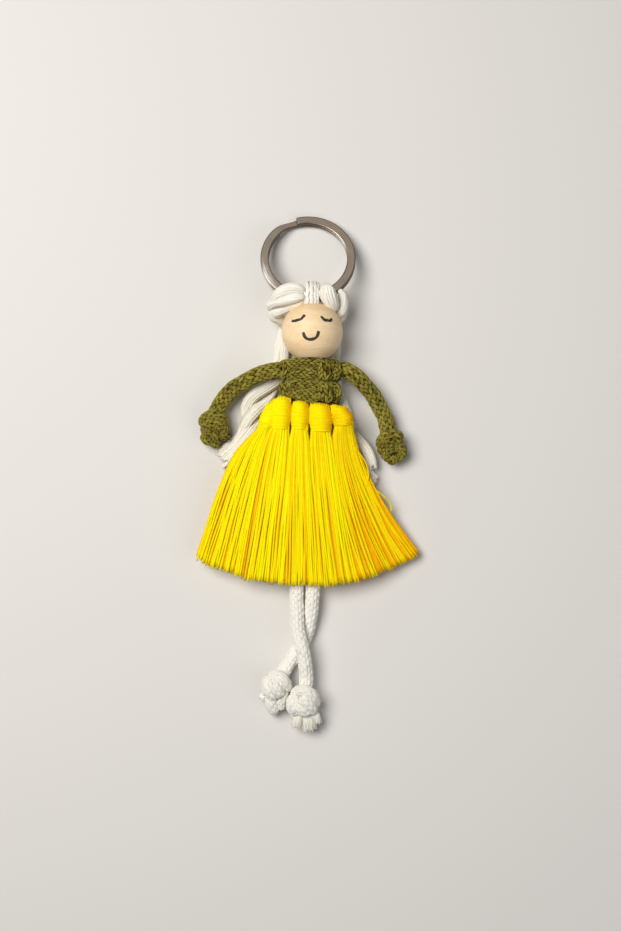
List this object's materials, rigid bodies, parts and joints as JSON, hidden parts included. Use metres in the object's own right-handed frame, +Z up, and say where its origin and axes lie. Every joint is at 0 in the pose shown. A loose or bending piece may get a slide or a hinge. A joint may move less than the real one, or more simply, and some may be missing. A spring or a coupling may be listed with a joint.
{
  "type": "macrame doll",
  "caption": "Key ring doll with a wooden ball head, plaited hair, knotted cord bodice and arms, a full skirt of yarn tassels and crossed cord legs, hung from a split ring.",
  "frame": {"origin": "middle of the underside of the doll lying on its back, on the surface it lies on", "axes": "+Z up out of the surface, through the doll from back to front; +Y from the feet to the ring; +X to the viewer's right with the face towards the viewer"},
  "size_m": [0.0742, 0.1734, 0.0225],
  "materials": {
    "bead_wood": "satin",
    "ring_steel": "satin",
    "cream_cord": "matte",
    "hair_string": "matte",
    "olive_cord": "matte",
    "yellow_yarn": "matte"
  },
  "bodies": {
    "torso": {"core_cord": "cream_cord", "head_bead": "bead_wood", "back_hair": "hair_string", "hair_left_front": "hair_string", "hair_left_side": "hair_string", "hair_right_front": "hair_string", "hair_right_side": "hair_string", "upper_bodice_knot": "olive_cord", "lower_bodice_knot": "olive_cord", "waist_cord": "yellow_yarn"},
    "ring": {"key_ring": "ring_steel"},
    "arm_left": {"left_arm": "olive_cord", "left_hand": "olive_cord"},
    "arm_right": {"right_arm": "olive_cord", "right_hand": "olive_cord"},
    "braid_left": {"left_braid": "hair_string"},
    "braid_right": {"right_braid": "hair_string"},
    "tassel_1": {"front_wrap_1": "yellow_yarn", "front_fringe_1": "yellow_yarn"},
    "tassel_2": {"front_wrap_2": "yellow_yarn", "front_fringe_2": "yellow_yarn"},
    "tassel_3": {"front_wrap_3": "yellow_yarn", "front_fringe_3": "yellow_yarn"},
    "tassel_4": {"front_wrap_4": "yellow_yarn", "front_fringe_4": "yellow_yarn"},
    "tassel_5": {"front_wrap_5": "yellow_yarn", "front_fringe_5": "yellow_yarn"},
    "back_skirt": {"back_wrap_1": "yellow_yarn", "back_fringe_1": "yellow_yarn", "back_wrap_2": "yellow_yarn", "back_fringe_2": "yellow_yarn", "back_wrap_3": "yellow_yarn", "back_fringe_3": "yellow_yarn", "back_wrap_4": "yellow_yarn", "back_fringe_4": "yellow_yarn"},
    "legs": {"over_leg_upper": "cream_cord", "under_leg_upper": "cream_cord"},
    "shin_over": {"over_leg_lower": "cream_cord", "over_foot_knot": "cream_cord"},
    "shin_under": {"under_leg_lower": "cream_cord", "under_foot_knot": "cream_cord"}
  },
  "joints": [
    {"name": "ring_swing", "type": "hinge", "parent": "torso", "child": "ring", "pos_m": [0.00021, 0.0584, 0.0122], "axis": [1, 0, 0], "range_deg": [-80, 12]},
    {"name": "left_arm_raise", "type": "hinge", "parent": "torso", "child": "arm_left", "pos_m": [-0.01134, 0.0344, 0.0086], "axis": [0, 0, -1], "range_deg": [0, 60]},
    {"name": "right_arm_raise", "type": "hinge", "parent": "torso", "child": "arm_right", "pos_m": [0.01316, 0.0343, 0.0086], "axis": [0, 0, 1], "range_deg": [0, 60]},
    {"name": "left_braid_swing", "type": "hinge", "parent": "torso", "child": "braid_left", "pos_m": [-0.00904, 0.0475, 0.0023], "axis": [1, 0, 0], "range_deg": [0, 45]},
    {"name": "right_braid_swing", "type": "hinge", "parent": "torso", "child": "braid_right", "pos_m": [0.00916, 0.0485, 0.0022], "axis": [1, 0, 0], "range_deg": [0, 45]},
    {"name": "tassel_1_lift", "type": "hinge", "parent": "torso", "child": "tassel_1", "pos_m": [-0.01353, 0.02238, 0.0132], "axis": [-0.9956, 0.0941, 0], "range_deg": [0, 75]},
    {"name": "tassel_2_lift", "type": "hinge", "parent": "torso", "child": "tassel_2", "pos_m": [-0.00845, 0.0219, 0.0132], "axis": [-0.9956, 0.0941, 0], "range_deg": [0, 75]},
    {"name": "tassel_3_lift", "type": "hinge", "parent": "torso", "child": "tassel_3", "pos_m": [-0.00198, 0.02129, 0.0132], "axis": [-0.9956, 0.0941, 0], "range_deg": [0, 75]},
    {"name": "tassel_4_lift", "type": "hinge", "parent": "torso", "child": "tassel_4", "pos_m": [0.00459, 0.02066, 0.0132], "axis": [-0.9956, 0.0941, 0], "range_deg": [0, 75]},
    {"name": "tassel_5_lift", "type": "hinge", "parent": "torso", "child": "tassel_5", "pos_m": [0.01171, 0.01999, 0.0132], "axis": [-0.9956, 0.0941, 0], "range_deg": [0, 75]},
    {"name": "back_skirt_swing", "type": "hinge", "parent": "torso", "child": "back_skirt", "pos_m": [-0.00233, 0.02132, 0.00225], "axis": [0.9956, -0.0941, 0], "range_deg": [0, 30]},
    {"name": "legs_swing", "type": "hinge", "parent": "torso", "child": "legs", "pos_m": [0.00126, 0.0229, 0.0077], "axis": [0, 0, 1], "range_deg": [-6, 6]},
    {"name": "over_knee_bend", "type": "hinge", "parent": "legs", "child": "shin_over", "pos_m": [-0.00364, -0.0417, 0.0049], "axis": [-1, 0, 0], "range_deg": [0, 50]},
    {"name": "under_knee_bend", "type": "hinge", "parent": "legs", "child": "shin_under", "pos_m": [0.00166, -0.0417, 0.0049], "axis": [1, 0, 0], "range_deg": [0, 50]}
  ]
}
